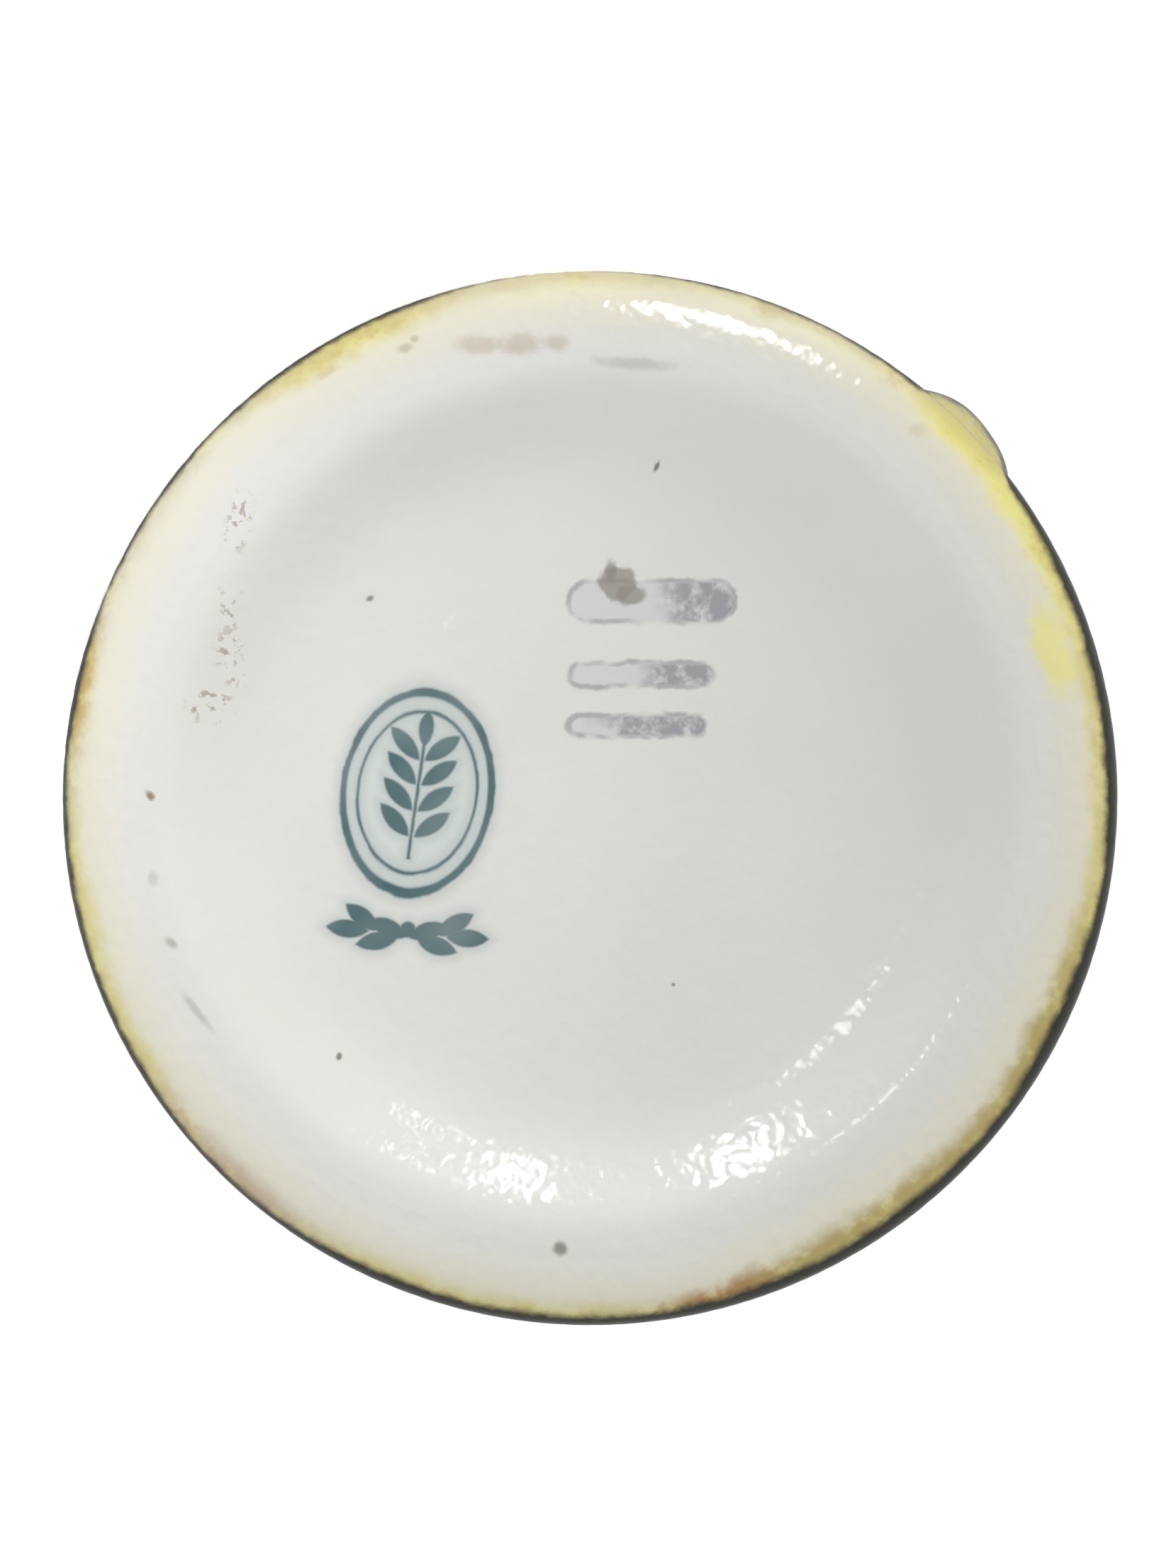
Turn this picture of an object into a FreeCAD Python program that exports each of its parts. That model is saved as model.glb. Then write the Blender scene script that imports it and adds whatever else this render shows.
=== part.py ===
"""A porcelain shaving mug: a waisted cup on a rolled foot, an ear-shaped handle and a lift-out soap drainer.

Millimetres. +Z is up, +X points out through the handle, and the origin is the centre of the ring that the mug
rests on. Every turned piece is a closed profile in the XZ plane, spun about Z.
"""

import FreeCAD, Part
import math
import os

Vector = FreeCAD.Vector

# Cup, outside
cup_height = 90.0
foot_radius = 42.0  # the widest circle of the foot
foot_widest_height = 4.4
shoulder_radius = 40.2  # where the foot turns in towards the waist
shoulder_height = 9.5
waist_radius = 36.6
waist_height = 29.0
belly_radius = 38.0
belly_height = 62.0
rim_radius = 41.4
rim_flare = 9.0  # degrees that the wall leans outwards at the rim

# Cup, wall and floor
wall = 3.0
heel_wall = 3.8  # the wall is thicker low down, where the foot flares
heel_corner = 6.5
floor_thickness = 3.1

# Cup, underside: a narrow flat ring to rest on, with a shallow dish inside it
rest_inset = 6.5  # from the widest circle of the foot to the middle of the ring
rest_width = 1.8
dish_depth = 4.0
# Control points that the dish leans towards: distance in from the ring, share of the depth
dish_guides = ((1.5, 0.0), (2.9, 0.13), (6.6, 0.70), (10.5, 0.93), (17.0, 0.98))

# Ledge that the drainer sits on
seat_depth = 20.0  # below the rim
seat_width = 2.9
seat_nose = 1.4  # height of the ledge's inner edge
seat_root = 4.2  # height of the ledge where it meets the wall
seat_round = 0.5

# Soap drainer
drainer_clearance = 0.6  # to the wall, and to the ledge's inner edge
drainer_thickness = 2.4
basin_depth = 6.5
basin_corner = 4.0
drainer_round = 0.9
finger_hole_radius = 7.5
drain_hole_radius = 1.7
drain_ring_places = (0.245, 0.63)  # shares of the way from the finger hole to the basin's corner
drain_hole_pitch = 9.2
hole_round = 0.6

# Handle: control points that its centreline leans towards, from the upper joint to the foot
handle_drop = 15.5  # upper joint below the rim
neck_out = 5.0  # out from the rim, and up from the upper joint
neck_up = 3.0
crown_out = 20.5
crown_up = 5.5
bow_out = 23.5
bow_down = 14.5
limb_out = 16.0  # out from the waist
limb_share = 0.54  # share of the upper joint's height
knee_out = 2.6  # out from the foot
knee_height = 20.0
heel_out = 1.6
heel_height = 9.8
tail_height = 6.6  # the centreline's end, inside the foot

# Handle, sections: a rounded oblong that spreads at both joints
handle_width = 10.5
handle_thickness = 7.4
section_squareness = 2.4  # 2 is an ellipse
root_width = 15.5
root_length = 12.0
top_root_thickness = 10.0
top_root_depth = 2.0  # the centreline is carried this far into the wall before the cup is cut away
foot_root_thickness = 6.4  # the lower end is pressed flat on the foot
foot_root_depth = 4.2
heel_twist = -12.0  # degrees that the lower joint was pressed on askew
section_count = 17
section_points = 16

# Slip that sticks the handle on
slip_size = 1.9
slip_edge = 0.2
slip_length = 5.0
slip_sections = 5

axis = Vector(0, 0, 1)
origin = Vector(0, 0, 0)


def point(radius, height):
    """A point of a profile in the XZ plane."""
    return Vector(radius, 0, height)


def line(a, b):
    return Part.LineSegment(a, b).toShape()


def arc(a, middle, b):
    return Part.Arc(a, middle, b).toShape()


def spline(points, start, end):
    """A smooth curve through points, with its directions at both ends."""
    curve = Part.BSplineCurve()
    curve.interpolate(Points=points, InitialTangent=start, FinalTangent=end)
    return curve


def guided(points):
    """A smooth curve that starts and ends on its control points and leans towards the ones between."""
    curve = Part.BSplineCurve()
    curve.buildFromPoles(points)
    return curve


def spin(edges):
    """The solid of revolution of a closed profile about Z."""
    wire = Part.Wire(edges)
    turned = Part.makeSolid(Part.makeShell(Part.Face(wire).revolve(origin, axis, 360).Faces))
    if turned.Volume < 0:
        turned.reverse()
    return turned


def at_height(curve, height):
    """The point of a climbing profile curve at a height."""
    low = curve.FirstParameter
    high = curve.LastParameter
    for _ in range(50):
        middle = (low + high) / 2
        if curve.value(middle).z < height:
            low = middle
        else:
            high = middle
    return curve.value((low + high) / 2)


def circles(shape, radius, height):
    """The circular edges of a turned piece at a radius and a height."""
    found = []
    for edge in shape.Edges:
        if not isinstance(edge.Curve, Part.Circle):
            continue
        same_radius = abs(edge.Curve.Radius - radius) < 0.01
        same_height = abs(edge.Curve.Center.z - height) < 0.01
        if same_radius and same_height:
            found.append(edge)
    return found


# Sizes that follow from the ones above
rest_radius = foot_radius - rest_inset
rest_outer = point(rest_radius + rest_width / 2, 0)
rest_inner = point(rest_radius - rest_width / 2, 0)
floor_top = dish_depth + floor_thickness
corner_height = floor_top + heel_corner
seat_height = cup_height - seat_depth
lip_round = wall / 2
lip_lean = math.radians(rim_flare)
up_wall = Vector(math.sin(lip_lean), 0, math.cos(lip_lean))
across_wall = Vector(math.cos(lip_lean), 0, -math.sin(lip_lean))
lip_centre = point(rim_radius - lip_round, cup_height - lip_round)
foot_edge = point(foot_radius, foot_widest_height)
lip_outside = lip_centre + across_wall * lip_round
lip_inside = lip_centre - across_wall * lip_round

outer_wall = spline(
    [
        foot_edge,
        point(shoulder_radius, shoulder_height),
        point(waist_radius, waist_height),
        point(belly_radius, belly_height),
        lip_outside,
    ],
    axis,
    up_wall,
)
heel = point(at_height(outer_wall, corner_height).x - heel_wall, corner_height)
inner_wall = spline(
    [heel, point(waist_radius - wall, waist_height), point(belly_radius - wall, belly_height), lip_inside],
    axis,
    up_wall,
)
seat_wall_radius = at_height(inner_wall, seat_height).x
seat_radius = seat_wall_radius - seat_width


def foot_roll():
    """The rounded edge of the foot, from the resting ring out to the widest circle."""
    return spline([rest_outer, foot_edge], Vector(1, 0, 0), axis).toShape()


def cup_body():
    dish_centre = point(0, dish_depth)
    guides = [rest_inner]
    for inwards, share in dish_guides:
        guides.append(point(rest_inner.x - inwards, dish_depth * share))
    guides.append(dish_centre)
    corner_centre = point(heel.x - heel_corner, corner_height)
    corner_middle = corner_centre + point(1, -1) * (heel_corner / math.sqrt(2))
    corner_end = point(corner_centre.x, floor_top)
    floor_centre = point(0, floor_top)
    return spin(
        [
            line(rest_inner, rest_outer),
            foot_roll(),
            outer_wall.toShape(),
            arc(lip_outside, lip_centre + up_wall * lip_round, lip_inside),
            inner_wall.toShape(),
            arc(heel, corner_middle, corner_end),
            line(corner_end, floor_centre),
            line(floor_centre, dish_centre),
            guided(guides).toShape(),
        ]
    )


def cup_envelope():
    """The cup as if it were solid clay, for cutting the handle and its slip to the wall."""
    top = point(0, lip_outside.z)
    return spin(
        [
            line(origin, rest_outer),
            foot_roll(),
            outer_wall.toShape(),
            line(lip_outside, top),
            line(top, origin),
        ]
    )


def drainer_seat_ring(cup):
    """A ledge luted to the inside of the wall, with a sloping underside."""
    nose_top = point(seat_radius, seat_height)
    nose_bottom = point(seat_radius, seat_height - seat_nose)
    root_bottom = at_height(inner_wall, seat_height - seat_root)
    buried = point(wall / 2, 0)
    buried_bottom = root_bottom + buried
    buried_top = point(seat_wall_radius, seat_height) + buried
    ring = spin(
        [
            line(nose_top, nose_bottom),
            line(nose_bottom, root_bottom),
            line(root_bottom, buried_bottom),
            line(buried_bottom, buried_top),
            line(buried_top, nose_top),
        ]
    )
    edges = circles(ring, seat_radius, seat_height) + circles(ring, seat_radius, nose_bottom.z)
    return ring.makeFillet(seat_round, edges).cut(cup)


def drain_hole(radius, at, bottom, top):
    """A cutter for a hole through the drainer's floor, with rolled edges above and below."""
    mouth = radius + hole_round
    bottom_throat = point(radius, bottom + hole_round)
    top_throat = point(radius, top - hole_round)
    roll = hole_round * (1 - 1 / math.sqrt(2))
    over = point(0, hole_round)
    bottom_mouth = point(mouth, bottom)
    top_mouth = point(mouth, top)
    cutter = spin(
        [
            line(point(0, bottom) - over, bottom_mouth - over),
            line(bottom_mouth - over, bottom_mouth),
            arc(bottom_mouth, point(radius + roll, bottom + roll), bottom_throat),
            line(bottom_throat, top_throat),
            arc(top_throat, point(radius + roll, top - roll), top_mouth),
            line(top_mouth, top_mouth + over),
            line(top_mouth + over, point(0, top) + over),
            line(point(0, top) + over, point(0, bottom) - over),
        ]
    )
    cutter.translate(at)
    return cutter


def soap_drainer():
    """A dished, pierced plate: its flange sits on the ledge and its basin hangs inside it."""
    flange_radius = seat_wall_radius - drainer_clearance
    basin_radius = seat_radius - drainer_clearance
    inside_radius = basin_radius - drainer_thickness
    flange_top = seat_height + drainer_thickness
    basin_bottom = seat_height - basin_depth
    basin_floor = basin_bottom + drainer_thickness
    inside_corner = basin_corner - drainer_thickness
    corner_centre = point(basin_radius - basin_corner, basin_bottom + basin_corner)
    down_and_out = point(1, -1) * (1 / math.sqrt(2))
    outer_start = point(corner_centre.x, basin_bottom)
    outer_end = point(basin_radius, corner_centre.z)
    inner_start = point(inside_radius, corner_centre.z)
    inner_end = point(corner_centre.x, basin_floor)
    under_flange = point(basin_radius, seat_height)
    flange_low = point(flange_radius, seat_height)
    flange_high = point(flange_radius, flange_top)
    mouth = point(inside_radius, flange_top)
    plate = spin(
        [
            line(point(0, basin_bottom), outer_start),
            arc(outer_start, corner_centre + down_and_out * basin_corner, outer_end),
            line(outer_end, under_flange),
            line(under_flange, flange_low),
            line(flange_low, flange_high),
            line(flange_high, mouth),
            line(mouth, inner_start),
            arc(inner_start, corner_centre + down_and_out * inside_corner, inner_end),
            line(inner_end, point(0, basin_floor)),
            line(point(0, basin_floor), point(0, basin_bottom)),
        ]
    )
    rims = circles(plate, flange_radius, flange_top) + circles(plate, inside_radius, flange_top)
    plate = plate.makeFillet(drainer_round, rims)
    plate = plate.cut(drain_hole(finger_hole_radius, origin, basin_bottom, basin_floor))
    for share in drain_ring_places:
        ring_radius = finger_hole_radius + (corner_centre.x - finger_hole_radius) * share
        hole_count = int(2 * math.pi * ring_radius / drain_hole_pitch)
        for hole in range(hole_count):
            angle = 2 * math.pi * hole / hole_count
            place = Vector(ring_radius * math.cos(angle), ring_radius * math.sin(angle), 0)
            plate = plate.cut(drain_hole(drain_hole_radius, place, basin_bottom, basin_floor))
    return plate


def handle_centreline():
    """Out from the upper joint, over the crown, down the limb and back into the foot."""
    top_height = cup_height - handle_drop
    guides = [
        point(at_height(outer_wall, top_height).x - top_root_depth, top_height),
        point(rim_radius + neck_out, top_height + neck_up),
        point(rim_radius + crown_out, top_height + crown_up),
        point(rim_radius + bow_out, top_height - bow_down),
        point(waist_radius + limb_out, top_height * limb_share),
        point(foot_radius + knee_out, knee_height),
        point(foot_radius + heel_out, heel_height),
        point(at_height(outer_wall, tail_height).x - foot_root_depth, tail_height),
    ]
    return guided(guides)


def spread(distance, length):
    """How far a section has spread, from 1 at the joint down to 0 a length away."""
    if distance >= length:
        return 0.0
    return (1 - distance / length) ** 2


def section(curve, distance, total, extra):
    """The closed outline of the handle at a distance along its centreline, grown by extra all round."""
    parameter = curve.parameterAtDistance(distance, curve.FirstParameter)
    centre = curve.value(parameter)
    along = curve.tangent(parameter)[0]
    at_top = spread(distance, root_length)
    at_foot = spread(total - distance, root_length)
    width = handle_width + (root_width - handle_width) * (at_top + at_foot)
    thickness = handle_thickness
    thickness += (top_root_thickness - handle_thickness) * at_top
    thickness += (foot_root_thickness - handle_thickness) * at_foot
    half_width = width / 2 + extra
    half_thickness = thickness / 2 + extra
    turn = FreeCAD.Rotation(along, heel_twist * spread(total - distance, total / 3))
    sideways = turn.multVec(Vector(0, 1, 0))
    outwards = along.cross(sideways)
    points = []
    for step in range(section_points):
        angle = 2 * math.pi * step / section_points
        x = math.copysign(abs(math.cos(angle)) ** (2 / section_squareness), math.cos(angle))
        y = math.copysign(abs(math.sin(angle)) ** (2 / section_squareness), math.sin(angle))
        points.append(centre + outwards * (half_thickness * x) + sideways * (half_width * y))
    outline = Part.BSplineCurve()
    steps = list(range(section_points + 1))
    outline.interpolate(Points=points, PeriodicFlag=True, Parameters=steps)
    return Part.Wire(outline.toShape())


def handle(curve, envelope):
    total = curve.length()
    outlines = []
    for step in range(section_count):
        outlines.append(section(curve, total * step / (section_count - 1), total, 0.0))
    return Part.makeLoft(outlines, True).cut(envelope)


def handle_slip(curve, envelope, bare_handle, at_foot):
    """A fillet of slip round one joint: it thins away along the handle."""
    total = curve.length()
    length = slip_length + (foot_root_depth if at_foot else top_root_depth)
    outlines = []
    for step in range(slip_sections):
        distance = length * step / (slip_sections - 1)
        extra = slip_edge + (slip_size - slip_edge) * spread(distance, length)
        place = total - distance if at_foot else distance
        outlines.append(section(curve, place, total, extra))
    return Part.makeLoft(outlines, True).cut(envelope).cut(bare_handle)


def write(name, shape):
    """One STEP file for one sub-part."""
    solids = shape.Solids
    shape = solids[0] if len(solids) == 1 else Part.makeCompound(solids)
    box = shape.BoundBox
    size = f"{box.XLength:.2f} x {box.YLength:.2f} x {box.ZLength:.2f}"
    print(f"{name}: {len(solids)} solid, valid {shape.isValid()}, {shape.Volume:.0f} mm3, {size} mm")
    shape.exportStep(f"parts/{name}.step")


def main():
    os.makedirs("parts", exist_ok=True)
    cup = cup_body()
    envelope = cup_envelope()
    curve = handle_centreline()
    bare_handle = handle(curve, envelope)
    write("cup_body", cup)
    write("drainer_seat_ring", drainer_seat_ring(cup))
    write("soap_drainer", soap_drainer())
    write("handle", bare_handle)
    write("handle_upper_slip", handle_slip(curve, envelope, bare_handle, False))
    write("handle_lower_slip", handle_slip(curve, envelope, bare_handle, True))


main()
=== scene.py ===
import math

import bmesh
import bpy
from mathutils import Matrix, Vector
from mathutils.bvhtree import BVHTree


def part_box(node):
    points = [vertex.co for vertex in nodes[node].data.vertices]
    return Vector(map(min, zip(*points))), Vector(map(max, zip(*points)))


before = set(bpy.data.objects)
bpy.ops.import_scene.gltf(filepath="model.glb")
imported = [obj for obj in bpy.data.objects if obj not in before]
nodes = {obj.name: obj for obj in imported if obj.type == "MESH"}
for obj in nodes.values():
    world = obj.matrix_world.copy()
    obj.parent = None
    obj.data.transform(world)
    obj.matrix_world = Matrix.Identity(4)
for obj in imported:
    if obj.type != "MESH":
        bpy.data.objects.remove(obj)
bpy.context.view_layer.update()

scene = bpy.context.scene
mm = 0.001

# Where things are on the cup, measured from the CAD nodes
cupLow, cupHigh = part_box("cup_body")
rimHeight = cupHigh.z / mm
footRadius = -cupLow.y / mm
footWide = 4.4  # height of the foot's widest circle, mm
landOuter = 36.4  # outer edge of the flat ring that the mug rests on, mm
printTurn = math.radians(43)  # the marks stand upright with the handle this far above the right
printRight = Vector((math.cos(printTurn), math.sin(printTurn), 0))
printUp = Vector((math.sin(printTurn), -math.cos(printTurn), 0))


# Camera: straight below the mug, close, with its top edge towards printUp
camera = {
    "sensor": 36,
    "distance": 92.0,  # below the foot's widest circle, mm
    "frameHeight": 126.5,  # how much the frame's long side takes in at that circle, mm
    "right": -0.16,  # from the mug's axis, mm
    "up": 1.08,
}


def makeCamera():
    data = bpy.data.cameras.new("underside_camera")
    data.sensor_width = camera["sensor"]
    data.lens = camera["sensor"] * camera["distance"] / camera["frameHeight"]
    data.clip_start = 0.005
    data.clip_end = 20
    made = bpy.data.objects.new("underside_camera", data)
    scene.collection.objects.link(made)
    place = (printRight * camera["right"] + printUp * camera["up"]) * mm
    place.z = (footWide - camera["distance"]) * mm
    turn = Matrix((printRight, printUp, Vector((0, 0, -1)))).transposed()
    made.matrix_world = Matrix.Translation(place) @ turn.to_4x4()
    scene.camera = made
    return made


lookUp = makeCamera()
print("camera is set")


# Shader helpers
class Socket:
    # One output of a shader node, so that sums on it can be written as Python
    def __init__(self, shader, link):
        self.shader = shader
        self.link = link

    def maths(self, operation, *rest):
        return self.shader.node("Math", {"operation": operation}, [self, *rest])

    def __add__(self, other):
        return self.maths("ADD", other)

    __radd__ = __add__

    def __mul__(self, other):
        return self.maths("MULTIPLY", other)

    __rmul__ = __mul__

    def __sub__(self, other):
        return self.maths("SUBTRACT", other)

    def __rsub__(self, other):
        return self.shader.node("Math", {"operation": "SUBTRACT"}, [other, self])

    def __truediv__(self, other):
        return self.maths("DIVIDE", other)

    def __pow__(self, other):
        return self.maths("POWER", other)

    def __abs__(self):
        return self.maths("ABSOLUTE")


class Shader:
    # A material with one Principled BSDF
    def __init__(self, name):
        self.material = bpy.data.materials.new(name)
        self.material.use_nodes = True
        self.tree = self.material.node_tree
        self.tree.nodes.clear()
        self.output = self.tree.nodes.new("ShaderNodeOutputMaterial")
        self.bsdf = self.tree.nodes.new("ShaderNodeBsdfPrincipled")
        self.tree.links.new(self.bsdf.outputs[0], self.output.inputs[0])
        self.place = self.node("TexCoord", {}, {}, "Object")
        self.x, self.y, self.z = [axis * (1 / mm) for axis in self.split(self.place)]

    def node(self, kind, settings, values, output=0):
        made = self.tree.nodes.new("ShaderNode" + kind)
        for name, value in settings.items():
            if name == "stops":
                self.setStops(made.color_ramp, value)
            else:
                setattr(made, name, value)
        pairs = values.items() if isinstance(values, dict) else enumerate(values)
        for key, value in pairs:
            if isinstance(value, Socket):
                self.tree.links.new(value.link, made.inputs[key])
            else:
                made.inputs[key].default_value = value
        return Socket(self, made.outputs[output])

    def setStops(self, ramp, stops):
        while len(ramp.elements) < len(stops):
            ramp.elements.new(1)
        for element, (position, colour) in zip(ramp.elements, stops):
            element.position = position
            element.color = colour

    def split(self, vector):
        return [self.node("SeparateXYZ", {}, {0: vector}, axis) for axis in range(3)]

    def step(self, value, low, high):
        # 0 below low, 1 above high, smooth between; low may be the larger
        settings = {"interpolation_type": "SMOOTHSTEP"}
        return self.node("MapRange", settings, {"Value": value, "From Min": low, "From Max": high})

    def noise(self, size, detail=2.0, roughness=0.5, seed=0.0):
        # size is the size of one blotch, mm
        values = {"Vector": self.place, "W": seed, "Scale": 1 / (size * mm)}
        values.update({"Detail": detail, "Roughness": roughness})
        return self.node("TexNoise", {"noise_dimensions": "4D"}, values, "Fac")

    def mix(self, share, first, second, blend="MIX"):
        values = {0: share, 6: first, 7: second}
        return self.node("Mix", {"data_type": "RGBA", "blend_type": blend, "clamp_factor": True}, values, 2)

    def larger(self, first, second):
        return self.node("Math", {"operation": "MAXIMUM"}, [first, second])

    def smaller(self, first, second):
        return self.node("Math", {"operation": "MINIMUM"}, [first, second])

    def root(self, value):
        return self.node("Math", {"operation": "SQRT"}, [value])

    def clip(self, value):
        return self.node("Clamp", {}, {"Value": value})

    def finish(self, colour, roughness, bumps, metallic=None):
        self.tree.links.new(colour.link, self.bsdf.inputs["Base Color"])
        for name, value in (("Roughness", roughness), ("Metallic", metallic)):
            if isinstance(value, Socket):
                self.tree.links.new(value.link, self.bsdf.inputs[name])
            elif value is not None:
                self.bsdf.inputs[name].default_value = value
        normal = None
        for height, depth in bumps:
            values = {"Height": height, "Distance": depth * mm, "Strength": 1.0}
            if normal:
                values["Normal"] = normal
            normal = self.node("Bump", {}, values)
        if normal:
            self.tree.links.new(normal.link, self.bsdf.inputs["Normal"])
        self.bsdf.inputs["IOR"].default_value = glaze["ior"]
        return self.material


def paint(red, green, blue):
    # A colour given the way a paint box shows it, 0 to 255
    def linear(value):
        value = value / 255
        return value / 12.92 if value <= 0.04045 else ((value + 0.055) / 1.055) ** 2.4

    return (linear(red), linear(green), linear(blue), 1.0)


# Glaze: the clear coat that every piece shares
glaze = {
    "porcelain": paint(233, 232, 228),
    "porcelainShade": paint(225, 224, 218),
    "roughness": 0.09,
    "orangePeel": 1.1,  # size of the dimples, mm
    "orangePeelDepth": 0.060,
    "waves": 5.0,
    "wavesDepth": 0.020,
    "ior": 1.52,
}


def glazeBumps(shader):
    peel = shader.noise(glaze["orangePeel"], 1.0, 0.4, 1.0)
    waves = shader.noise(glaze["waves"], 1.0, 0.5, 2.0)
    return [(waves, glaze["wavesDepth"]), (peel, glaze["orangePeelDepth"])]


def porcelain(shader):
    return shader.mix(shader.noise(14, 3.0, 0.6, 3.0), glaze["porcelain"], glaze["porcelainShade"])


enamel = {
    "lemon": paint(242, 236, 148),
    "lemonDeep": paint(226, 214, 116),
    "straw": paint(226, 216, 150),
    "cream": paint(240, 236, 205),
    "ivory": paint(222, 216, 192),
    "amber": paint(206, 176, 112),
    "rose": paint(212, 194, 172),
    "russet": paint(176, 126, 76),
    "olive": paint(190, 174, 110),
    # line: the dark edge along the outline, partly dark moss enamel seen edge-on, partly painted shade and
    # painted dark reflection where the glaze turns away
    "line": paint(46, 46, 36),
    # haze: a warm tint ahead of the enamel, partly a thin wash, partly a painted warm reflection
    "washAndWarmSheen": paint(240, 230, 188),
    "gold": paint(212, 170, 92),
}


class CupShader(Shader):
    # A material that knows where it is on the cup
    def __init__(self, name):
        super().__init__(name)
        self.radius = self.root(self.x * self.x + self.y * self.y)
        self.right = self.x * printRight.x + self.y * printRight.y
        self.up = self.x * printUp.x + self.y * printUp.y

    def turn(self, first, second):
        # The direction of a vector, in degrees
        return self.node("Math", {"operation": "ARCTAN2"}, [second, first]) * (180 / math.pi)

    def roll(self):
        # 0 at the resting ring, 90 at the foot's widest circle, up to 180 on the wall
        out = (self.radius - landOuter) / (footRadius - landOuter)
        return self.turn((footWide - self.z) / footWide, out)

    def near(self, angle, reach):
        # 1 at an angle counted from printRight to printUp, 0 from reach degrees away
        a = math.radians(angle)
        ahead = self.right * math.cos(a) + self.up * math.sin(a)
        aside = self.up * math.cos(a) - self.right * math.sin(a)
        return self.step(abs(self.turn(ahead, aside)), reach, reach * 0.2)

    def turned(self, place, tilt=0.0):
        # Right and up from a place on the underside, turned by tilt
        across = self.right - place[0]
        along = self.up - place[1]
        u = across * math.cos(tilt) + along * math.sin(tilt)
        v = along * math.cos(tilt) - across * math.sin(tilt)
        return u, v

    def oval(self, place, halfSize, tilt=0.0):
        # Roughly the distance from an oval's edge, negative inside
        u, v = self.turned(place, tilt)
        far = self.root((u / halfSize[0]) ** 2 + (v / halfSize[1]) ** 2)
        return (far - 1) * min(halfSize)

    def spot(self, place, halfSize, tilt=0.0, soft=0.4):
        return self.step(self.oval(place, halfSize, tilt), soft, -soft)

    def leaf(self, u, v, halfLength, halfWidth):
        # Distance from the edge of a leaf that lies along u, pointed at both ends, negative inside
        bend = (halfLength ** 2 + halfWidth ** 2) / (2 * halfWidth)
        away = abs(v) + (bend - halfWidth)
        return self.root(u * u + away * away) - bend


# Teal ink: an oval cartouche with a leaf sprig in it, and a small leaf garland below
teal = {
    "dark": paint(64, 100, 106),
    "light": paint(126, 152, 150),
    "wash": paint(206, 217, 213),
    "place": (-13.85, 0.4),  # middle of the cartouche, right and up, mm
    "tilt": math.radians(-8),
    "halfSize": (5.9, 8.1),
    "outerLine": 0.25,  # half widths
    "innerLine": 0.11,
    "lineGap": 1.15,
    "leaf": (1.75, 0.66),  # half length, half width
    "leafRows": (-3.6, -1.5, 0.6, 2.6),  # heights of the pairs on the stem
    "leafLean": math.radians(42),
    "leafRoot": 0.2,  # where the leaves start beside the stem
    "topLeaf": (5.2, 1.5, 0.6),  # height, half length, half width
    "stem": (-0.4, 5.0, 0.13),  # middle, half length, half width
    "garland": (-14.6, -10.6),
    "garlandLeaf": (1.7, 0.72),
    "garlandLeaves": ((1.6, 0.0, 20), (3.7, 0.7, 34), (2.4, -1.1, -14), (4.8, -0.3, 2)),  # out, up, lean
    "garlandBud": 0.65,  # radius
    "ragged": 0.12,
    "washShare": 0.55,
    "bleedShare": 0.30,
}


def tealInk(shader):
    place, tilt = teal["place"], teal["tilt"]
    wobble = shader.noise(1.5, 2.0, 0.6, 5.0) - 0.5
    pooled = shader.noise(4.5, 1.0, 0.5, 6.0)  # where the transfer laid more ink
    ring = shader.oval(place, teal["halfSize"], tilt) + wobble * 0.22
    heavy = teal["outerLine"] * (0.5 + pooled * 1.1)
    shape = abs(ring) - heavy
    shape = shader.smaller(shape, abs(ring + teal["lineGap"]) - teal["innerLine"])
    u, v = shader.turned(place, tilt)
    middle, halfLength, halfWidth = teal["stem"]
    stem = shader.larger(abs(u + wobble * 0.2) - halfWidth, abs(v - middle) - halfLength)
    shape = shader.smaller(shape, stem)
    length, width = teal["leaf"]
    for row in teal["leafRows"]:
        # Both leaves of a pair at once, mirrored across the stem
        out = abs(u) - teal["leafRoot"]
        rise = v - row
        lean = teal["leafLean"]
        along = out * math.cos(lean) + rise * math.sin(lean) - length
        aside = rise * math.cos(lean) - out * math.sin(lean)
        shape = shader.smaller(shape, shader.leaf(along, aside, length, width))
    height, halfLength, halfWidth = teal["topLeaf"]
    shape = shader.smaller(shape, shader.leaf(v - height, u, halfLength, halfWidth))
    middle, height = shader.turned(teal["garland"], tilt * 0.6)
    length, width = teal["garlandLeaf"]
    for out, lift, lean in teal["garlandLeaves"]:
        lean = math.radians(lean)
        across = abs(middle) - out
        rise = height - lift
        along = across * math.cos(lean) + rise * math.sin(lean)
        aside = rise * math.cos(lean) - across * math.sin(lean)
        shape = shader.smaller(shape, shader.leaf(along, aside, length, width))
    shape = shader.smaller(shape, shader.root(middle * middle + height * height) - teal["garlandBud"])
    shape = shape + wobble * teal["ragged"]
    ink = shader.step(shape, 0.13, -0.12)
    bleed = shader.step(shape, 1.5, -0.2)
    strength = ink * (0.62 + pooled * 0.5)
    inside = shader.step(ring, 0.2, -0.5)
    return strength, bleed, inside


def addTeal(shader, colour):
    ink, bleed, inside = tealInk(shader)
    colour = shader.mix(inside * teal["washShare"], colour, teal["wash"])
    colour = shader.mix(bleed * bleed * teal["bleedShare"], colour, teal["light"])
    return shader.mix(shader.clip(ink), colour, teal["dark"])


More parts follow.
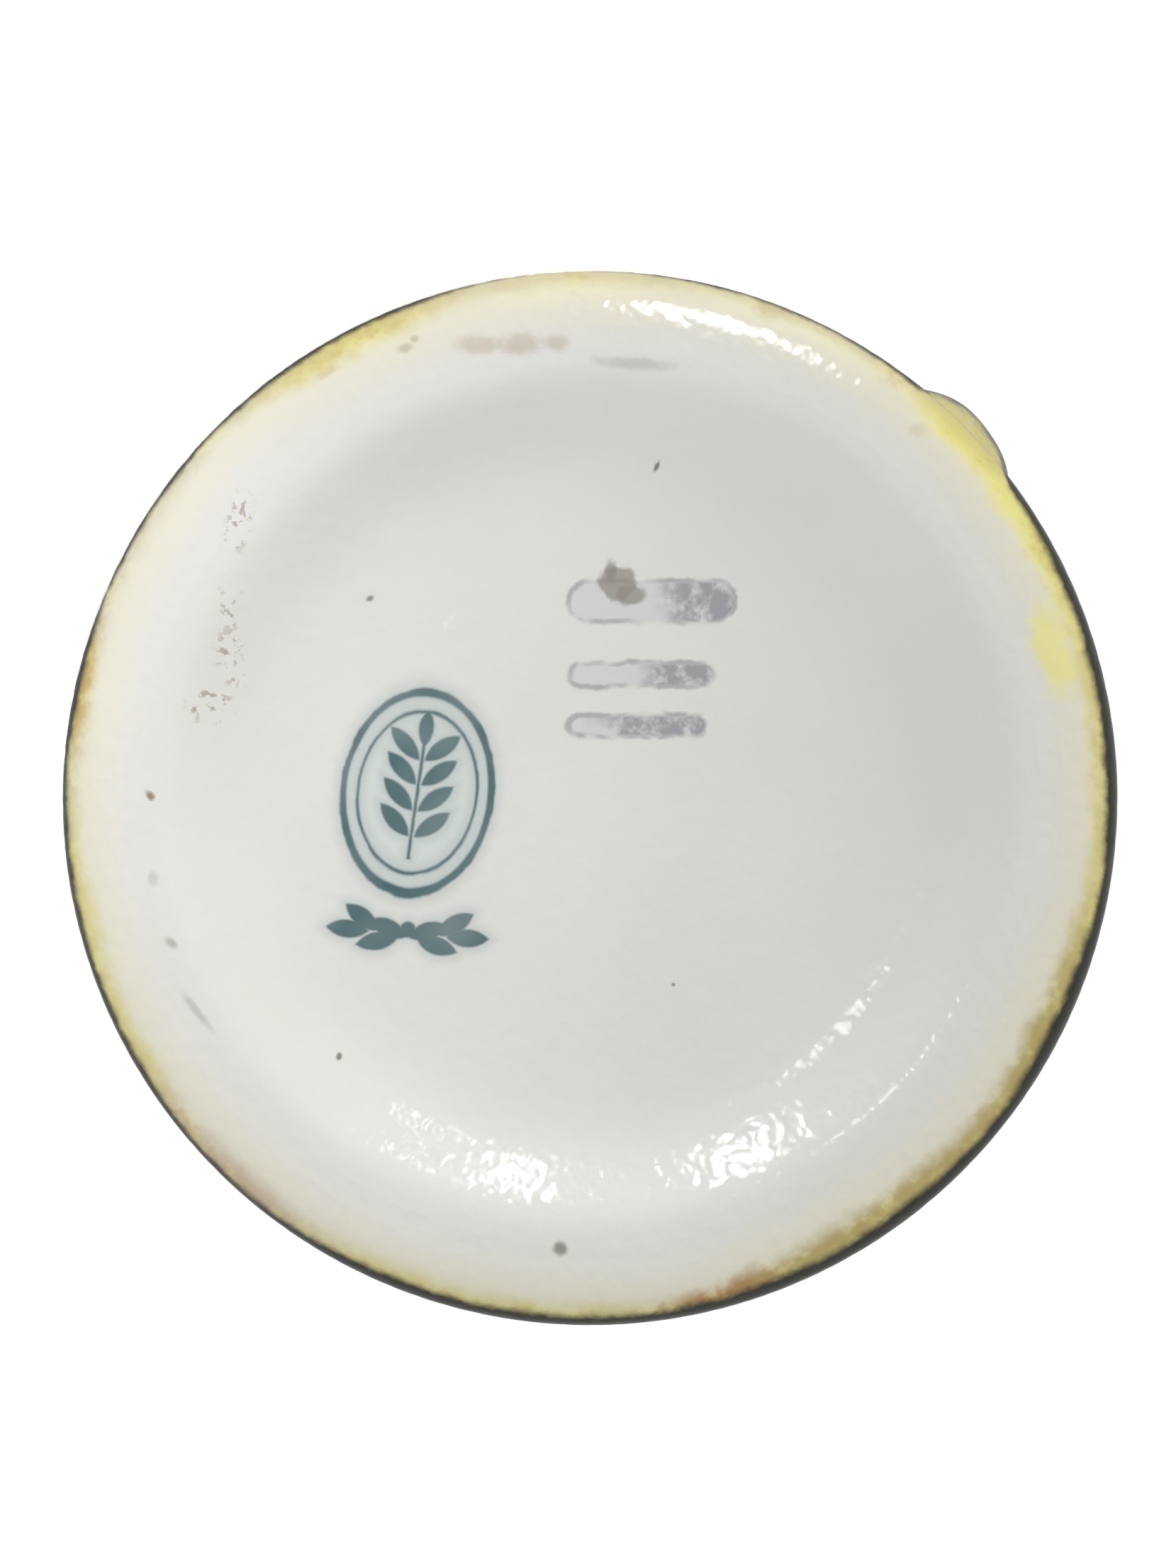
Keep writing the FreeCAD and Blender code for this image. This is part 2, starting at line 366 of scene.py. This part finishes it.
# Violet ink: three smudged dashes and a grey-brown blot
violet = {
    "ink": paint(138, 134, 142),
    "wash": paint(204, 204, 208),
    "blot": paint(150, 145, 136),
    # right, up, half length, half height, where the solid part begins
    "dashes": ((4.95, 15.7, 6.8, 1.75, 1.5), (4.15, 9.85, 5.9, 1.05, 0.2), (3.8, 5.75, 5.7, 0.95, -2.5)),
    "blots": ((2.2, 17.2, 1.5, 1.35), (3.3, 16.2, 1.0, 0.8), (1.7, 18.2, 0.5, 0.9)),
    "fadeIn": 1.6,  # how gradually the solid part begins, mm either way
    "washShare": 0.5,
    "outlineShare": 0.55,
    "solidShare": 0.72,
    "blotShare": 0.8,
}


def addViolet(shader, colour):
    smear = shader.noise(1.7, 3.0, 0.65, 8.0)
    broad = shader.noise(3.6, 2.0, 0.5, 9.0)
    for right, up, halfLength, halfHeight, solidFrom in violet["dashes"]:
        along = shader.larger(abs(shader.right - right) - (halfLength - halfHeight), 0.0)
        across = shader.up - up
        edge = shader.root(along * along + across * across) - halfHeight + (smear - 0.5) * 0.8
        inside = shader.step(edge, 0.15, -0.35)
        outline = shader.step(abs(edge + 0.1), 0.36, 0.06) * shader.step(broad, 0.42, 0.56)
        reach = shader.right - right + (broad - 0.5) * 6
        solid = inside * shader.step(reach, solidFrom - violet["fadeIn"], solidFrom + violet["fadeIn"])
        solid = solid * shader.step(smear, 0.34, 0.56)
        colour = shader.mix(inside * violet["washShare"], colour, violet["wash"])
        inked = shader.larger(outline * violet["outlineShare"], solid * violet["solidShare"])
        colour = shader.mix(inked, colour, violet["ink"])
    for right, up, halfWidth, halfHeight in violet["blots"]:
        edge = shader.oval((right, up), (halfWidth, halfHeight)) + (smear - 0.5) * 1.1
        colour = shader.mix(shader.step(edge, 0.2, -0.2) * violet["blotShare"], colour, violet["blot"])
    return colour


# Stains and scuffs, most of them along the ring where the mug has stood
stains = {
    "beige": paint(205, 194, 180),
    "brown": paint(146, 124, 98),
    "grey": paint(134, 132, 120),
    # right, up, half width, half height, lean in degrees, colour, strength
    "spots": (
        (-8.6, 34.8, 1.6, 0.7, -4, "beige", 0.8),
        (-5.4, 34.9, 1.5, 0.8, 3, "beige", 0.85),
        (-2.6, 35.0, 0.9, 0.6, 0, "beige", 0.8),
        (3.4, 33.4, 2.9, 0.42, -4, "grey", 0.30),
        (-14.2, 34.6, 0.55, 0.35, 20, "brown", 0.6),
        (-13.5, 35.3, 0.35, 0.28, 0, "brown", 0.6),
        (-20.3, 32.8, 0.8, 0.35, 30, "brown", 0.45),
        (-33.8, 0.2, 0.42, 0.28, -50, "brown", 0.9),
        (-33.6, -6.2, 0.35, 0.5, 0, "grey", 0.25),
        (-32.2, -11.1, 0.5, 0.3, -40, "grey", 0.5),
        (-30.2, -16.4, 0.28, 1.7, 38, "grey", 0.35),
        (-19.8, -20.4, 0.2, 0.26, 0, "grey", 0.95),
        (-2.3, -34.6, 0.5, 0.5, 0, "grey", 0.85),
        (5.3, 26.3, 0.17, 0.42, -25, "grey", 0.95),
        (-17.6, 15.9, 0.3, 0.2, 30, "grey", 0.85),
        (6.7, -15.0, 0.16, 0.14, 0, "grey", 0.85),
        (25.3, 28.3, 0.7, 0.5, 0, "beige", 0.6),
    ),
    # right, up, half width, half height, lean: patches of short scuffs
    "scuffs": (
        (-27.0, 21.2, 0.9, 2.2, -12),
        (-27.8, 15.0, 0.7, 1.7, 0),
        (-28.0, 10.8, 1.0, 2.0, 8),
        (-29.6, 7.2, 1.5, 1.4, 20),
    ),
    "scuffSize": 0.6,
    "scuffShare": 0.6,
}


def addStains(shader, colour):
    broken = shader.noise(0.8, 3.0, 0.65, 4.0) - 0.5
    for right, up, halfWidth, halfHeight, lean, name, strength in stains["spots"]:
        soft = min(halfWidth, halfHeight) * 0.55
        edge = shader.oval((right, up), (halfWidth, halfHeight), math.radians(lean)) + broken * soft * 2.2
        colour = shader.mix(shader.step(edge, soft, -soft) * strength, colour, stains[name])
    scuff = shader.step(shader.noise(stains["scuffSize"], 2.0, 0.6, 11.0), 0.54, 0.62)
    for right, up, halfWidth, halfHeight, lean in stains["scuffs"]:
        patch = shader.spot((right, up), (halfWidth, halfHeight), math.radians(lean), 0.5)
        colour = shader.mix(patch * scuff * stains["scuffShare"], colour, stains["brown"])
    return colour


# Enamel that runs in over the rolled foot, and a dark edge along its outline that is partly painted shade.
# Roll angles are degrees round the foot from the resting ring.
footEdge = {
    "start": 25.0,
    "startWander": (22, 12),  # how far its start wanders, broadly and finely
    "fade": 19.0,
    # dark: where the dark edge begins round the roll, partly painted shade at the outline
    "dark": 45.5,
    "darkWander": (10, 9),
    "washAndWarmSheen": 0.40,  # the thin part that runs in ahead of it: partly a thin wash of enamel, partly a painted warm reflection
    "washAndWarmSheenReach": 36,
    # direction and reach in degrees, colour, how much nearer the ring it starts, how much sooner it
    # darkens. Pale cream at the top and olive at the lower right, with the dark edge later at the top and
    # sooner at the lower right, are partly painted light and shade.
    "runs": (
        (262, 46, "straw", 6, 8),
        (200, 34, "straw", 4, 3),
        (350, 34, "straw", 8, 6),
        (12, 26, "straw", 6, 7),
        (36, 26, "lemon", 10, 4),
        (44, 8, "lemon", 0, -45),
        (66, 20, "cream", 4, -5),
        (92, 18, "cream", 10, -9),
        (118, 18, "straw", 13, 2),
        (168, 10, "amber", 5, 4),
        (226, 16, "rose", 4, 0),
        (287, 12, "russet", 5, 4),
        (301, 18, "olive", 12, 7),
        (324, 34, "olive", 11, 9),
    ),
    # right, up, half width, half height, lean, colour, strength: single drips
    "drips": (
        (35.4, 11.4, 1.3, 3.4, 14, "lemon", 0.8),
        (32.6, 23.0, 1.5, 2.2, 35, "lemon", 0.55),
        (5.8, -39.9, 0.7, 0.9, 20, "olive", 0.9),
        (10.6, -39.4, 2.4, 0.8, 16, "russet", 0.6),
        (33.6, 24.8, 1.0, 0.6, -50, "russet", 0.95),
        (31.0, -24.3, 0.9, 1.3, -40, "olive", 0.6),
        (-27.4, -31.7, 2.0, 0.7, -42, "rose", 0.6),
        (14.0, 38.0, 1.0, 0.6, -20, "olive", 0.4),
    ),
}


def addFootEdge(shader, colour, roll):
    drift = shader.noise(5.0, 3.0, 0.6, 13.0) - 0.5
    fine = shader.noise(1.2, 3.0, 0.6, 14.0) - 0.5
    broadly, finely = footEdge["startWander"]
    start = footEdge["start"] + drift * broadly + fine * finely
    broadly, finely = footEdge["darkWander"]
    dark = footEdge["dark"] + fine * finely + drift * broadly
    hue = enamel["ivory"]
    for angle, reach, name, inwards, sooner in footEdge["runs"]:
        share = shader.near(angle, reach)
        hue = shader.mix(share, hue, enamel[name])
        start = start - share * inwards
        dark = dark - share * sooner
    hue = shader.mix(shader.step(fine + drift, 0.0, 0.24) * 0.45, hue, enamel["lemon"])
    hue = shader.mix(shader.step(drift - fine, 0.06, 0.30) * 0.35, hue, enamel["amber"])
    # Darker olive further round the roll towards the outline: partly darker enamel, partly painted shade
    deepAndShaded = shader.mix(0.45, hue, enamel["olive"])
    hue = shader.mix(shader.step(roll, start + 8, start + 30), hue, deepAndShaded)
    # A warm tint ahead of the enamel: partly a thin wash, partly a painted warm reflection of the
    # surroundings
    washAndWarmSheen = shader.step(roll, start - footEdge["washAndWarmSheenReach"], start + 4) * footEdge["washAndWarmSheen"]
    colour = shader.mix(washAndWarmSheen, colour, enamel["washAndWarmSheen"])
    colour = shader.mix(shader.step(roll, start, start + footEdge["fade"]), colour, hue)
    for right, up, halfWidth, halfHeight, lean, name, strength in footEdge["drips"]:
        edge = shader.oval((right, up), (halfWidth, halfHeight), math.radians(lean))
        edge = edge + (drift + fine) * 1.6
        colour = shader.mix(shader.step(edge, 0.7, -0.6) * strength, colour, enamel[name])
    # The dark edge along the foot's outline: partly the outside's dark moss, partly painted shade and
    # painted dark reflection where the foot turns away
    return shader.mix(shader.step(roll, dark - 4, dark + 7), colour, enamel["line"])


# The outside: enamel sprayed from the foot up, dark moss, amber, then ivory
ground = {
    # height above the foot's widest circle as a share of the mug's height, colour
    "stops": (
        (0.0, paint(56, 56, 42)),
        (0.07, paint(84, 88, 56)),
        (0.20, paint(128, 134, 78)),
        (0.40, paint(192, 188, 112)),
        (0.62, paint(231, 222, 168)),
        (0.85, paint(240, 235, 210)),
        (1.0, paint(242, 239, 224)),
    ),
    "clouds": 11.0,  # size, mm
    "cloudDepth": 0.28,
}


def outsideGround(shader):
    clouds = (shader.noise(ground["clouds"], 4.0, 0.6, 20.0) - 0.5) * ground["cloudDepth"]
    share = (shader.z - footWide) / rimHeight + clouds
    return shader.node("ValToRGB", {"stops": ground["stops"]}, {0: share})


# A spray of leaves and small blossoms, painted once on each side of the mug
spray = {
    "leafDark": paint(92, 108, 66),
    "leafLight": paint(150, 158, 98),
    "stem": paint(110, 104, 66),
    "petal": paint(226, 206, 208),
    "petalEdge": paint(188, 138, 148),
    "heart": paint(206, 168, 84),
    # across from the side of the mug, height, half length, half width, lean in degrees
    "leaves": (
        (-14.0, 40.0, 6.0, 2.3, 150),
        (-9.0, 33.5, 5.6, 2.1, 205),
        (-3.5, 30.0, 5.2, 2.0, 250),
        (5.0, 37.5, 6.2, 2.4, -28),
        (11.5, 44.5, 5.6, 2.1, 12),
        (2.0, 53.5, 5.4, 2.0, 70),
        (-8.0, 52.5, 5.8, 2.2, 118),
        (14.5, 52.0, 4.6, 1.7, 48),
        (-16.5, 48.0, 4.4, 1.6, 172),
    ),
    "petals": 5,
    # across, height, radius, turn in degrees
    "blossoms": ((-3.5, 43.5, 5.2, 10), (5.5, 47.5, 4.2, 40), (-10.5, 45.0, 3.4, 65), (0.5, 36.0, 3.2, 25)),
    # arcs of stem: across, height of the arc's centre, radius
    "stems": ((-24.0, 66.0, 31.0), (26.0, 24.0, 31.0)),
    "reach": 17.5,  # how far out from the middle of the spray the stems are painted
    "middle": (-1.0, 43.0),
    "wallRadius": 38.0,  # turns the way round the mug into mm across
}


def addSpray(shader, colour):
    side = abs(shader.y)
    across = shader.node("Math", {"operation": "ARCTAN2"}, [shader.x, side]) * spray["wallRadius"]
    height = shader.z
    ragged = shader.noise(1.6, 3.0, 0.6, 60.0) - 0.5
    tone = shader.noise(4.0, 3.0, 0.65, 61.0)
    middle, middleHeight = spray["middle"]
    far = shader.root((across - middle) ** 2 + (height - middleHeight) ** 2)
    for right, up, radius in spray["stems"]:
        ring = abs(shader.root((across - right) ** 2 + (height - up) ** 2) - radius + ragged * 0.4)
        stem = shader.step(ring, 0.42, 0.12) * shader.step(far, spray["reach"], spray["reach"] - 2)
        colour = shader.mix(stem * 0.75, colour, spray["stem"])
    for right, up, halfLength, halfWidth, lean in spray["leaves"]:
        a = math.radians(lean)
        u = (across - right) * math.cos(a) + (height - up) * math.sin(a)
        v = (height - up) * math.cos(a) - (across - right) * math.sin(a)
        shape = shader.leaf(u, v, halfLength, halfWidth) + ragged * 0.5
        upper = shader.step(v + (tone - 0.5) * 3, -0.9, 0.9)
        green = shader.mix(upper, spray["leafDark"], spray["leafLight"])
        vein = shader.step(abs(v + ragged * 0.2), 0.22, 0.06)
        green = shader.mix(vein * 0.7, green, spray["leafLight"])
        colour = shader.mix(shader.step(shape, 0.15, -0.25) * 0.88, colour, green)
    for right, up, radius, turn in spray["blossoms"]:
        u = across - right
        v = height - up
        far = shader.root(u * u + v * v) + ragged * 0.5
        angle = shader.turn(u, v) * math.radians(spray["petals"] / 2) + math.radians(turn)
        lobes = abs(shader.node("Math", {"operation": "SINE"}, [angle]))
        edge = far - (lobes * 0.3 + 0.7) * radius
        outer = shader.step(edge + (tone - 0.5) * 1.6, -1.6, 0.0)
        petal = shader.mix(outer, spray["petal"], spray["petalEdge"])
        petal = shader.mix(shader.step(lobes, 0.30, 0.05) * 0.6, petal, spray["petalEdge"])
        petal = shader.mix(shader.step(far, radius * 0.26, radius * 0.18), petal, spray["heart"])
        colour = shader.mix(shader.step(edge, 0.15, -0.2) * 0.94, colour, petal)
    return colour


rimGilt = {
    "fades": (1.5, 1.2),  # below the rim, where the gilt starts and where it is full, mm
    "ragged": 0.6,
    "worn": (0.28, 0.36),
    "roughness": 0.14,
}


def cupGlaze():
    shader = CupShader("cup_glaze")
    colour = porcelain(shader)
    colour = addTeal(shader, colour)
    colour = addViolet(shader, colour)
    colour = addStains(shader, colour)
    colour = addFootEdge(shader, colour, shader.roll())
    nx, ny, _ = shader.split(shader.node("NewGeometry", {}, {}, "Normal"))
    facingOut = (nx * shader.x + ny * shader.y) / shader.larger(shader.radius, 0.01)
    outwards = shader.step(facingOut, 0.35, 0.6)
    outside = outwards * shader.step(shader.z, footWide - 0.8, footWide + 0.2)
    colour = shader.mix(outside, colour, addSpray(shader, outsideGround(shader)))
    inside = shader.step(shader.z, footWide + 0.6, footWide + 1.2) * (1 - outwards)
    colour = shader.mix(inside, colour, porcelain(shader))
    wear = shader.noise(2.4, 3.0, 0.7, 23.0)
    starts, full = rimGilt["fades"]
    gilt = shader.step(shader.z + (wear - 0.5) * rimGilt["ragged"], rimHeight - starts, rimHeight - full)
    gilt = gilt * shader.step(wear, *rimGilt["worn"])
    colour = shader.mix(gilt, colour, enamel["gold"])
    rough = glaze["roughness"] + gilt * rimGilt["roughness"] + wear * 0.04
    return shader.finish(colour, rough, glazeBumps(shader), gilt)


# Handle: the same ground, a worn gilt stripe down its back, lemon enamel pooled under its lower end
handleFinish = {
    "stripe": 1.4,  # half width, mm
    "stripeFrom": 46.0,  # distance from the mug's axis where the stripe starts
    "loopMiddle": (44.0, 45.0),  # x and height that the handle's back faces away from
    "underside": -0.40,  # how far a face has to look down to be lemon
    "undersideTop": 9.0,  # and how low it has to be
    "outline": (-0.62, -0.46),  # from where to where it turns from lemon to the dark line, partly dark enamel and partly painted shade along the outline
}


def handleGlaze(name, striped):
    shader = CupShader(name)
    colour = outsideGround(shader)
    nx, _, nz = shader.split(shader.node("NewGeometry", {}, {}, "Normal"))
    wear = shader.noise(2.0, 3.0, 0.7, 31.0)
    look = handleFinish["underside"]
    under = shader.step(nz + (wear - 0.5) * 0.25, look + 0.22, look - 0.18)
    top = handleFinish["undersideTop"]
    under = under * shader.step(shader.z, top + 1, top - 2)
    hue = shader.mix(shader.step(wear, 0.35, 0.62), enamel["lemonDeep"], enamel["straw"])
    # The dark line where the faces turn from looking down: partly dark enamel, partly painted shade along
    # the handle root's outline
    outline = shader.step(nz + (wear - 0.5) * 0.3, *handleFinish["outline"])
    hue = shader.mix(outline, hue, enamel["line"])
    colour = shader.mix(under * 0.95, colour, hue)
    if not striped:
        return shader.finish(colour, glaze["roughness"] + wear * 0.05, glazeBumps(shader))
    width = handleFinish["stripe"]
    stripe = shader.step(abs(shader.y) + (wear - 0.5) * 0.5, width + 0.1, width - 0.1)
    start = handleFinish["stripeFrom"]
    stripe = stripe * shader.step(shader.x, start, start + 2)
    loopX, loopHeight = handleFinish["loopMiddle"]
    facingBack = nx * (shader.x - loopX) + nz * (shader.z - loopHeight)
    stripe = stripe * shader.step(facingBack, 0, 4)
    stripe = stripe * shader.step(wear, 0.3, 0.38) * (1 - under)
    colour = shader.mix(stripe, colour, enamel["gold"])
    rough = glaze["roughness"] + stripe * rimGilt["roughness"]
    return shader.finish(colour, rough, glazeBumps(shader), stripe)


# Drainer and its ledge: the same porcelain, a little soap bloom in the drainer
bloom = {"colour": paint(214, 213, 203), "size": 5.0, "strength": 0.55, "dulls": 0.22}


def whiteGlaze(name, used):
    shader = CupShader(name)
    colour = porcelain(shader)
    rough = glaze["roughness"] + shader.noise(3.0, 2.0, 0.5, 40.0) * 0.05
    if used:
        film = shader.step(shader.noise(bloom["size"], 4.0, 0.65, 41.0), 0.42, 0.66) * bloom["strength"]
        colour = shader.mix(film, colour, bloom["colour"])
        rough = rough + film * bloom["dulls"]
    return shader.finish(colour, rough, glazeBumps(shader))


def dress(nodeName, material):
    nodes[nodeName].material_slots[0].material = material


dress("cup_body", cupGlaze())
dress("handle", handleGlaze("handle_glaze_enamelled", True))
slip = handleGlaze("slip_glaze_pooled", False)
dress("handle_upper_slip", slip)
dress("handle_lower_slip", slip)
dress("drainer_seat_ring", whiteGlaze("ledge_glaze_white", False))
dress("soap_drainer", whiteGlaze("drainer_glaze_white", True))
print("glazes are on")


# Stage: a pale floor that is only there from above, pale surroundings and soft lamps
stage = {
    "floorSize": 6.0,
    "floorDrop": 0.2,  # below the resting ring, mm
    "floorColour": paint(232, 232, 230),
    "floorShade": paint(224, 224, 222),
    "floorRoughness": 0.6,
    "floorGlow": 0.2,  # keeps the far floor pale
    "air": (0.80, 0.81, 0.82, 1.0),
    "airStrength": 0.46,
}


def makeFloor():
    mesh = bpy.data.meshes.new("floor")
    shape = bmesh.new()
    bmesh.ops.create_grid(shape, x_segments=1, y_segments=1, size=stage["floorSize"] / 2)
    bmesh.ops.translate(shape, verts=shape.verts, vec=(0, 0, -stage["floorDrop"] * mm))
    shape.to_mesh(mesh)
    shape.free()
    floor = bpy.data.objects.new("floor", mesh)
    scene.collection.objects.link(floor)
    shader = Shader("floor_pale")
    speck = shader.noise(60, 3.0, 0.6, 50.0)
    colour = shader.mix(speck * 0.15, stage["floorColour"], stage["floorShade"])
    material = shader.finish(colour, stage["floorRoughness"], [])
    shader.bsdf.inputs["Emission Color"].default_value = stage["floorColour"]
    shader.bsdf.inputs["Emission Strength"].default_value = stage["floorGlow"]
    clear = shader.node("BsdfTransparent", {}, {})
    fromBelow = shader.node("NewGeometry", {}, {}, "Backfacing")
    solid = Socket(shader, shader.bsdf.outputs[0])
    shown = shader.node("MixShader", {}, {0: fromBelow, 1: solid, 2: clear})
    shader.tree.links.new(shown.link, shader.output.inputs[0])
    mesh.materials.append(material)
    for rays in ("visible_diffuse", "visible_glossy", "visible_transmission", "visible_shadow"):
        setattr(floor, rays, False)


def makeAir():
    world = bpy.data.worlds.new("pale_air")
    scene.world = world
    world.use_nodes = True
    tree = world.node_tree
    tree.nodes.clear()
    seen = tree.nodes.new("ShaderNodeBackground")
    seen.inputs[0].default_value = (1, 1, 1, 1)
    felt = tree.nodes.new("ShaderNodeBackground")
    felt.inputs[0].default_value = stage["air"]
    felt.inputs[1].default_value = stage["airStrength"]
    path = tree.nodes.new("ShaderNodeLightPath")
    mix = tree.nodes.new("ShaderNodeMixShader")
    output = tree.nodes.new("ShaderNodeOutputWorld")
    tree.links.new(path.outputs["Is Camera Ray"], mix.inputs[0])
    tree.links.new(felt.outputs[0], mix.inputs[1])
    tree.links.new(seen.outputs[0], mix.inputs[2])
    tree.links.new(mix.outputs[0], output.inputs[0])


lamps = {
    # name: right, up and height in metres, its width and height, watts, colour, whether glaze mirrors it
    "key_below": ((0.40, 0.44, -0.16), (0.36, 0.29), 2.25, (1.0, 0.975, 0.93), False),
    "side_below": ((0.29, -0.50, -0.16), (0.36, 0.29), 0.80, (1.0, 0.99, 0.97), False),
    "fill_below": ((-0.118, 0.05, -0.127), (0.10, 0.10), 0.178, (0.97, 0.985, 1.0), False),
    "softbox_above": ((-0.2, 0.25, 0.75), (0.9, 0.9), 4.2, (1.0, 0.99, 0.97), True),
    "side_above": ((0.8, -0.5, 0.5), (0.7, 0.7), 2.5, (0.97, 0.99, 1.0), False),
}

glints = {
    # where the lamp shows, as a share of the foot's outline and an angle, its width and height, brightness
    "patches": (
        (0.742, 257, 0.010, 0.064, 1.2),
        (0.765, 242, 0.005, 0.020, 0.7),
        (0.738, 293, 0.030, 0.026, 0.8),
        (0.640, 314, 0.007, 0.032, 0.7),
        (0.945, 76, 0.200, 0.060, 1.4),
    ),
    "distance": 0.32,
    "outline": 1.0133,  # the foot's outline as the camera sees it, as a share of its radius
    "radiance": 30.0,
    "spread": math.radians(16),  # a grid on each lamp keeps it to its own patch
}


def lampTowards(name, place, target, size, power, colour):
    data = bpy.data.lights.new(name, "AREA")
    data.shape = "RECTANGLE"
    data.size, data.size_y = size
    data.energy = power
    data.color = colour
    lamp = bpy.data.objects.new(name, data)
    scene.collection.objects.link(lamp)
    aim = (target - place).to_track_quat("-Z", "Y").to_matrix()
    lamp.matrix_world = Matrix.Translation(place) @ aim.to_4x4()
    return lamp


def makeLamps():
    for name, ((right, up, height), size, power, colour, mirrored) in lamps.items():
        place = printRight * right + printUp * up + Vector((0, 0, height))
        lamp = lampTowards(name, place, Vector((0, 0, 0.02)), size, power, colour)
        lamp.visible_glossy = mirrored


def makeGlints():
    # Small lamps that the camera sees mirrored in the glaze at chosen places
    mesh = nodes["cup_body"].data
    corners = [vertex.co for vertex in mesh.vertices]
    cupTree = BVHTree.FromPolygons(corners, [face.vertices for face in mesh.polygons])
    eye = lookUp.matrix_world.translation
    outline = footRadius * glints["outline"] * mm
    for number, (share, angle, width, height, bright) in enumerate(glints["patches"]):
        a = math.radians(angle)
        aim = (printRight * math.cos(a) + printUp * math.sin(a)) * (share * outline)
        aim.z = footWide * mm
        ray = (aim - eye).normalized()
        hit, normal, _, _ = cupTree.ray_cast(eye, ray)
        mirrored = ray - 2 * ray.dot(normal) * normal
        place = hit + mirrored * glints["distance"]
        half = glints["spread"] / 2
        power = glints["radiance"] * bright * width * height * math.pi * (1 - half / math.tan(half))
        lamp = lampTowards(f"glint_{number}", place, hit, (width, height), power, (1, 1, 1))
        lamp.data.spread = glints["spread"]
        lamp.visible_diffuse = False


makeFloor()
makeAir()
makeLamps()
makeGlints()
scene.view_settings.view_transform = "Standard"
print("stage and lamps are set")
